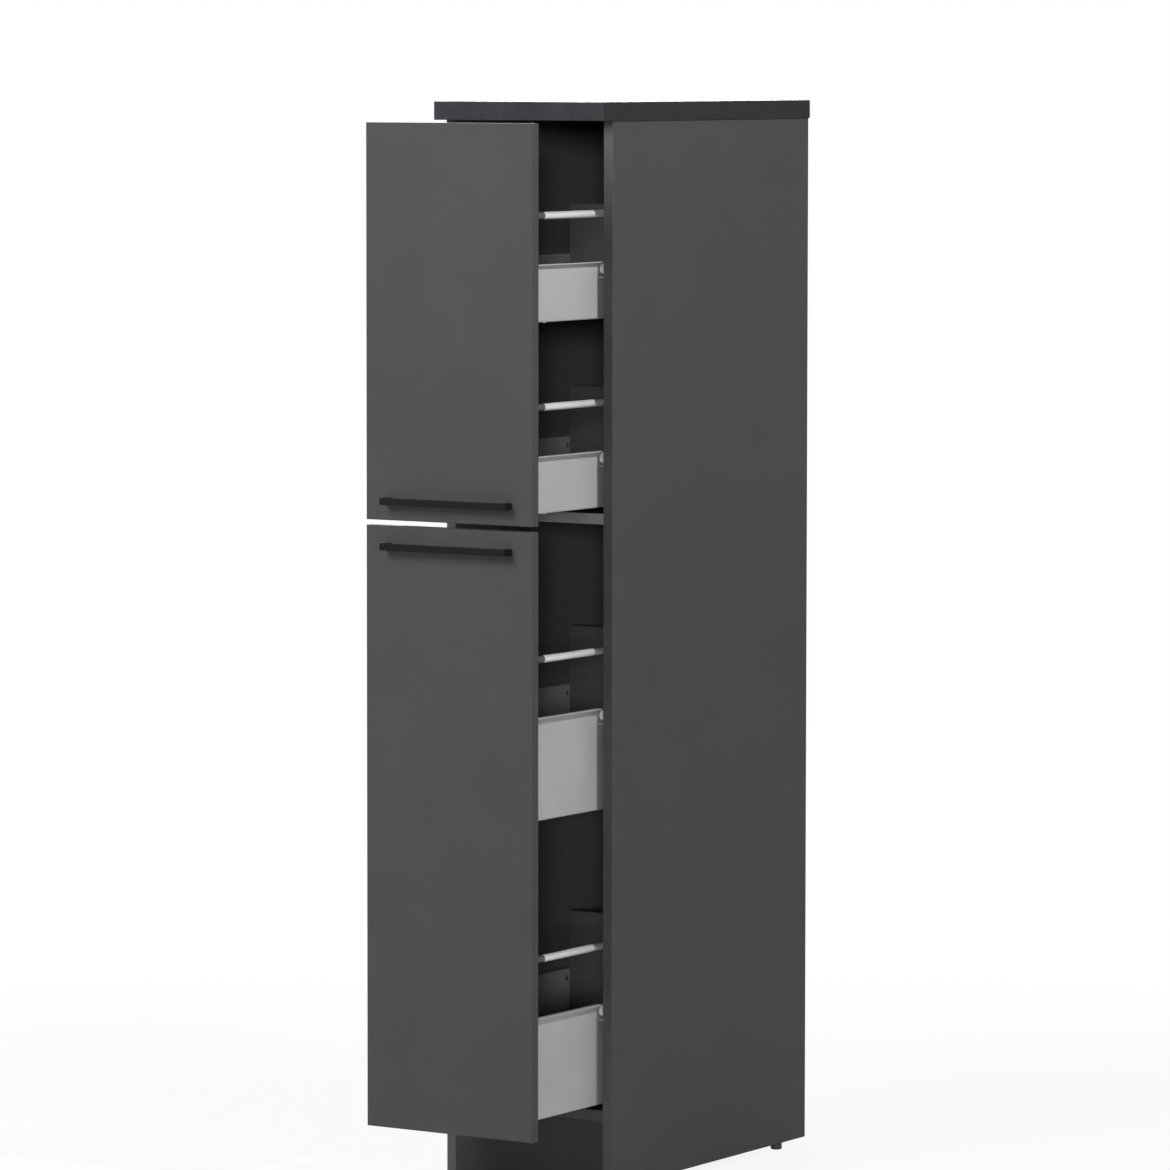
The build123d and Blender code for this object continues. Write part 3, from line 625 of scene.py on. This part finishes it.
# %% [markdown]
# A weak even light from the camera's side opens the shadows inside the trays. More lamps would make
# more shadows, so this is a sun, which has the same strength at every depth of the cabinet. It
# comes in almost level, which brings it under the worktop.

# %% Fill light

fill_place = (5.0, -8.0, 3.0)
fill_direction = (-5.0, 8.0, -0.85)
fill_strength = 0.7
fill_angle = 7.0

bpy.ops.object.light_add(type="SUN", location=fill_place)
fill = bpy.context.object
fill.name = "fill"
fill.data.energy = fill_strength
fill.data.angle = math.radians(fill_angle)
fill.rotation_euler = turn_towards(fill_direction)
print("fill:", fill_strength, "W/m2, soft over", fill_angle, "degrees")

# %% [markdown]
# The world has two jobs. The camera and the gloss see it as plain white, which is the background
# of a studio picture, but as a light it is weak, or the cabinet would lose its shadows. Light Path
# tells the two kinds of ray apart.

# %% World

ambient_strength = 0.06
white = (1.0, 1.0, 1.0, 1.0)


def seen_directly(finish):
    """1 for camera, glossy and transmission rays, 0 for the light that falls on things."""
    path = put(finish, "ShaderNodeLightPath")
    total = path.outputs["Is Camera Ray"]
    for name in ("Is Glossy Ray", "Is Transmission Ray"):
        total = maths(finish, "MAXIMUM", total, path.outputs[name])
    return total


world = bpy.data.worlds.new("studio")
bpy.context.scene.world = world
world.use_nodes = True
sky = world.node_tree.nodes["Background"]
sky.inputs["Color"].default_value = white
strength = put(world, "ShaderNodeMapRange", to_min=ambient_strength, to_max=1.0)
wire(world, seen_directly(world), strength.inputs["Value"])
wire(world, strength.outputs["Result"], sky.inputs["Strength"])
print("world: white to the camera,", ambient_strength, "as a light")

# %% [markdown]
# The floor is a plain pale plane, far larger than the view. It isn't part of the cabinet.

# %% Floor

floor_side = 60.0

bpy.ops.object.select_all(action="DESELECT")
bpy.ops.mesh.primitive_plane_add(size=floor_side, location=(0.0, 0.0, 0.0))
floor = bpy.context.object
floor.name = "floor"
print("floor:", floor_side, "m square")

# %% [markdown]
# A matt floor alone would come out grey and show its edge against the white world. Directly seen,
# this one is mostly white light of strength 1, which joins it to the world, and part plain matt
# paint, which keeps the cabinet's shadow. With distance from the cabinet the matt part fades out.

# %% Floor paint

floor_colour = (0.85, 0.85, 0.85, 1.0)
shadow_share = 0.12
fade_start = 0.9
fade_end = 2.6

paint = bpy.data.materials.new("pale_floor")
paint.use_nodes = True
paint.node_tree.nodes.clear()
coordinates = put(paint, "ShaderNodeTexCoord")
reach = put(paint, "ShaderNodeVectorMath", operation="LENGTH")
fade = put(paint, "ShaderNodeMapRange", interpolation_type="SMOOTHSTEP", from_min=fade_start,
           from_max=fade_end, to_min=1.0 - shadow_share, to_max=1.0)
matt = put(paint, "ShaderNodeBsdfDiffuse", color=floor_colour)
glow = put(paint, "ShaderNodeEmission", strength=1.0)
both = put(paint, "ShaderNodeMixShader")
out = put(paint, "ShaderNodeOutputMaterial")
wire(paint, coordinates.outputs["Object"], reach.inputs[0])
wire(paint, reach.outputs["Value"], fade.inputs["Value"])
share = maths(paint, "MULTIPLY", seen_directly(paint), fade.outputs["Result"])
wire(paint, share, both.inputs["Fac"])
wire(paint, matt.outputs["BSDF"], both.inputs[1])
wire(paint, glow.outputs["Emission"], both.inputs[2])
wire(paint, both.outputs["Shader"], out.inputs["Surface"])
floor.data.materials.append(paint)
print("matt share of the floor:", shadow_share, "up to", fade_start, "m, gone at", fade_end, "m")

# %% Finish

bpy.context.scene.view_settings.view_transform = "Standard"
